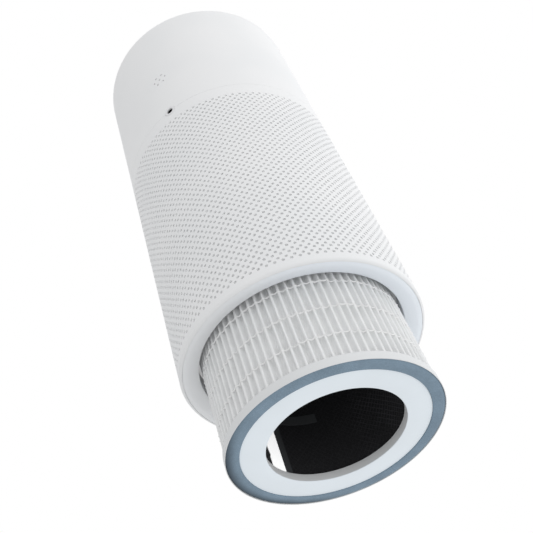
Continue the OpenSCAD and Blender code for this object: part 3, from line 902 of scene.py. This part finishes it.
def bead(row):
    """One glue thread: it touches each ridge and sags into each gap, as a round tube along that path."""
    steps = 10
    k, u = np.divmod(np.arange(PLEATS * steps), steps)
    u = u / steps
    lean = PLEAT_LEAN[k % PLEATS]
    sag = np.sin(np.pi * u)
    level = BEAD_FIRST + BEAD_PITCH * row + 0.35 * MM * lean[:, row % 4] * sag - 0.5 * MM * sag
    angle = (k + u) * TAU / PLEATS
    radius = TIP_R - 0.25 * MM - (1.3 + 0.4 * lean[:, (row + 1) % 4]) * MM * sag
    size = (0.62 + 0.12 * lean[:, (row + 2) % 4] * sag) * MM
    size = np.clip(size, 0.25 * MM, 0.7 * MM)
    turn = np.linspace(0, TAU, 6, endpoint=False)
    r = radius[:, None] + size[:, None] * np.cos(turn)
    z = level[:, None] + size[:, None] * np.sin(turn)
    points = np.stack([r * np.cos(angle)[:, None], r * np.sin(angle)[:, None], z], -1)
    return points.reshape(-1, 3), grid_faces(len(k), 6, True, True)[:, ::-1]


piece("glue_threads", joined(*[bead(i) for i in range(BEAD_COUNT)]), "glue", "cartridge", ["glue_beads"])


def wall_strip(r, t, first, last, low, high, ragged=0.0, columns=24, rows=60):
    """Thin closed strip on the inside of the bore between two angles in degrees.

    Its last edge can be ragged: three sines of the height move it.
    """
    u = np.linspace(0, 1, columns)[None, :]
    h = np.linspace(0, 1, rows)[:, None]
    tear = ragged * (np.sin(h * 61) * 0.5 + np.sin(h * 143 + 1) * 0.3 + np.sin(h * 317) * 0.2)
    angle = np.radians(first + (last - first + tear) * u)
    z = low + (high - low) * h + 0 * angle
    skins = [np.stack([q * np.cos(angle), q * np.sin(angle), z], -1) for q in (r, r + t)]
    loop = np.concatenate([skins[0], skins[1][:, ::-1]], 1)
    points = loop.reshape(-1, 3)
    faces = grid_faces(rows, 2 * columns, False, True)
    ends = []
    for row in (0, rows - 1):
        base = row * 2 * columns + np.arange(columns - 1)
        twin = row * 2 * columns + 2 * columns - 1 - np.arange(columns - 1)
        quad = np.stack([base, base + 1, twin - 1, twin], -1)
        ends.append(quad[:, ::-1] if row else quad)
    return points, np.concatenate([faces[:, ::-1], *ends])


piece(
    "seam_tape", wall_strip(59.5 * MM, 0.5 * MM, 338.6, 345.2, 8 * MM, 242 * MM),
    "dark_tape", "cartridge", ["seam_strip"],
)
piece(
    "white_blank", wall_strip(59.6 * MM, 0.4 * MM, 345.6, 361, 8 * MM, 212 * MM, 2.0),
    "label_film", "cartridge", ["blank_label"],
)
piece(
    "grey_band", wall_strip(59.5 * MM, 0.5 * MM, 301, 338.2, 60 * MM, 69 * MM),
    "grey_tape", "cartridge", ["core_band"],
)

# ---------------------------------------------------------------- top


def spun(shape, turn):
    """A shape turned about Z."""
    points, faces = shape
    c, s = math.cos(turn), math.sin(turn)
    x, y, z = points.T
    return np.stack([x * c - y * s, x * s + y * c, z], -1), faces


FINS = 48
FIN_SLANT = math.radians(20)


def fins():
    """Straight fins with round tops, repeated round the axis.

    Each is a closed bar along X, set at a slant to the radius.
    """
    z0, z1 = GRILLE_LOW[2], GRILLE_HIGH[2]
    start, far = PANEL_R + 4.8 * MM, CASE_R - 18.8 * MM
    chord = math.sqrt(far**2 - (start * math.sin(FIN_SLANT)) ** 2)
    reach = chord - start * math.cos(FIN_SLANT) - 0.3 * MM
    half = 0.8 * MM
    outline = rounded([(-half, z0), (half, z0), (half, z1, 0.7 * MM), (-half, z1, 0.7 * MM)], 3)
    ends = [np.column_stack([np.full(len(outline), x), outline]) for x in (0.0, reach)]
    middles = [np.tile([x, 0.0, (z0 + z1) / 2], (len(outline), 1)) for x in (0.0, reach)]
    bar = np.concatenate([middles[0], ends[0], ends[1], middles[1]])
    faces = grid_faces(4, len(outline), False, True)[:, ::-1]
    leant = spun((bar, faces), FIN_SLANT)[0] + [start, 0, 0]
    return joined(*[spun((leant, faces), TAU * i / FINS) for i in range(FINS)])


def frames():
    """Hub ring and outer ring of the grille, with round upper edges."""
    z0, z1 = GRILLE_LOW[2], GRILLE_HIGH[2]
    bands = [
        (PANEL_R + 2.3 * MM, PANEL_R + 4.5 * MM, z0 - MM),
        (CASE_R - 18.6 * MM, CASE_R - 16.3 * MM, z0),
    ]
    soft = 0.6 * MM
    return joined(*[
        revolve(rounded([(a, z), (b, z), (b, z1, soft), (a, z1, soft)])) for a, b, z in bands
    ])


piece("grille_fins", fins(), "white_case", "housing", ["outlet_grille"], sharp=50)
piece("grille_frames", frames(), "white_case", "housing", ["grille_rings"], sharp=50)
piece(
    "glow_ring",
    revolve(rounded([
        (40.2 * MM, TOP_Z - 9.5 * MM), (42.1 * MM, TOP_Z - 9.5 * MM),
        (42.1 * MM, TOP_Z - 0.7 * MM, 0.5 * MM), (40.2 * MM, TOP_Z - 0.7 * MM, 0.5 * MM),
    ])),
    "clear_ring", "housing", ["light_guide"],
)

# Each key's distance from the axis in mm, its angle in degrees and its radius in mm.
KEYS = {
    "key_power": (0.0, 0.0, 9.0),
    "key_speed": (23.0, 90.0, 6.5),
    "key_timer": (23.0, 210.0, 6.5),
    "key_sleep": (23.0, 330.0, 6.5),
}


def key_middle(ring, turn):
    return ring * MM * math.cos(math.radians(turn)), ring * MM * math.sin(math.radians(turn))


def panel_piece():
    """Gloss disc with a rounded rim, cut by a round hole for each key."""
    z0, z1 = PANEL_LOW[2], PANEL_HIGH[2]
    outline = rounded([(0, z0), (PANEL_R, z0), (PANEL_R, z1, 0.8 * MM), (0, z1)])
    made = piece("gloss_panel", revolve(outline), "black_gloss", "housing", ["control_panel"])
    for ring, turn, size in KEYS.values():
        x, y = key_middle(ring, turn)
        a = np.linspace(0, TAU, 64, endpoint=False)
        q = (size + 0.3) * MM
        steps = [(0, z0 - MM), (q, z0 - MM), (q, z1 + MM), (0, z1 + MM)]
        rings = [np.stack([x + s * np.cos(a), y + s * np.sin(a), np.full(64, h)], -1) for s, h in steps]
        cut_by(made, (np.concatenate(rings), grid_faces(4, 64, False, True)))
    return made


panel_piece()
for key_name, (ring, turn, size) in KEYS.items():
    x, y = key_middle(ring, turn)
    is_power = key_name == "key_power"
    pale = (0.80, 0.80, 0.805) if is_power else (0.42, 0.43, 0.45)
    mark_r = (0.48 if is_power else 0.36) * size * MM
    look = symbol_key(key_name + " print", pale, INK, (x, y), mark_r, is_power)
    crown = PANEL_HIGH[2] + 0.5 * MM
    points, faces = revolve(rounded([
        (0, crown - 7 * MM), (size * MM, crown - 7 * MM), (size * MM, crown, 0.7 * MM),
        (size * MM * 0.5, crown - 0.25 * MM, 1.5 * MM), (0, crown - 0.35 * MM),
    ]), 96)
    piece(
        key_name.replace("key", "cap"), (points + [x, y, 0], faces), look, key_name, [key_name],
        slot="key_white" if is_power else "key_grey",
    )

# ---------------------------------------------------------------- looks of the CAD nodes

SLOTS = {s["node"]: s["material_slot"] for s in frame["record"]["subparts"]}
for node_name, made in NODES.items():
    look = LOOKS.get(SLOTS[node_name])
    if look is not None:
        made.data.materials.clear()
        made.data.materials.append(look)

# ---------------------------------------------------------------- floor, light and camera


def stage_floor():
    """Pale floor that shows from above only, so that it never stands between the lens and the base."""
    half = 6.0
    low = -0.3 * MM
    mesh = bpy.data.meshes.new("floor")
    corners = [(-half, -half, low), (half, -half, low), (half, half, low), (-half, half, low)]
    mesh.from_pydata(corners, [], [(0, 1, 2, 3)])
    made = bpy.data.objects.new("floor", mesh)
    bpy.context.scene.collection.objects.link(made)
    g = Graph("floor paint")
    g.set(Base_Color=(0.86, 0.86, 0.86), Roughness=0.9)
    clear = g.node("ShaderNodeBsdfTransparent")
    below = g.node("ShaderNodeNewGeometry", output=6)
    shown = g.tree.nodes.new("ShaderNodeMixShader")
    g.tree.links.new(below.socket, shown.inputs[0])
    g.tree.links.new(g.surface.outputs[0], shown.inputs[1])
    g.tree.links.new(clear.socket, shown.inputs[2])
    g.tree.links.new(shown.outputs[0], g.out.inputs[0])
    mesh.materials.append(g.material)
    made.visible_shadow = False
    made.visible_diffuse = False
    made.visible_glossy = False
    made.visible_transmission = False


def sky(bright, dim, seen):
    """Soft light from all round: brighter from one side, while the lens sees plain white."""
    world = bpy.data.worlds.new("studio")
    bpy.context.scene.world = world
    world.use_nodes = True
    tree = world.node_tree
    tree.nodes.clear()
    out = tree.nodes.new("ShaderNodeOutputWorld")
    coords = tree.nodes.new("ShaderNodeTexCoord")
    dot = tree.nodes.new("ShaderNodeVectorMath")
    dot.operation = "DOT_PRODUCT"
    dot.inputs[1].default_value = Vector(BRIGHT_SIDE).normalized()
    spread = tree.nodes.new("ShaderNodeMapRange")
    spread.inputs[1].default_value = -1
    spread.inputs[2].default_value = 1
    spread.inputs[3].default_value = dim
    spread.inputs[4].default_value = bright
    light = tree.nodes.new("ShaderNodeBackground")
    plain = tree.nodes.new("ShaderNodeBackground")
    plain.inputs[1].default_value = seen
    plain.inputs[0].default_value = (1, 1, 1, 1)
    light.inputs[0].default_value = (0.985, 0.992, 1.0, 1)
    path = tree.nodes.new("ShaderNodeLightPath")
    mix = tree.nodes.new("ShaderNodeMixShader")
    tree.links.new(coords.outputs["Generated"], dot.inputs[0])
    tree.links.new(dot.outputs["Value"], spread.inputs[0])
    tree.links.new(spread.outputs[0], light.inputs[1])
    tree.links.new(path.outputs["Is Camera Ray"], mix.inputs[0])
    tree.links.new(light.outputs[0], mix.inputs[1])
    tree.links.new(plain.outputs[0], mix.inputs[2])
    tree.links.new(mix.outputs[0], out.inputs[0])


def camera():
    """Camera below the object and behind it, looking up at 45 degrees, rolled so that the case leans."""
    turn = math.radians(109.3)
    reach, drop = 0.5525, -0.346
    place = Vector((reach * math.cos(turn), reach * math.sin(turn), drop))
    pitch, roll, yaw = 0.785, 0.373, 0.006
    level = Vector((-math.cos(turn + yaw), -math.sin(turn + yaw), 0))
    ahead = level * math.cos(pitch) + Vector((0, 0, math.sin(pitch)))
    right = ahead.cross(Vector((0, 0, 1))).normalized()
    down = ahead.cross(right).normalized()
    side = right * math.cos(roll) + down * math.sin(roll)
    foot = down * math.cos(roll) - right * math.sin(roll)
    lens = bpy.data.cameras.new("camera")
    lens.lens = 54.72
    lens.sensor_width = 36
    lens.clip_start = 0.01
    made = bpy.data.objects.new("camera", lens)
    bpy.context.scene.collection.objects.link(made)
    rows = Matrix((side, -foot, -ahead)).transposed()
    made.matrix_world = Matrix.Translation(place) @ rows.to_4x4()
    bpy.context.scene.camera = made
    return made


BRIGHT_SIDE = (-0.75, -0.45, 0.3)
bpy.context.scene.view_settings.view_transform = "Standard"
stage_floor()
sky(bright=1.2, dim=0.62, seen=1.0)
camera()
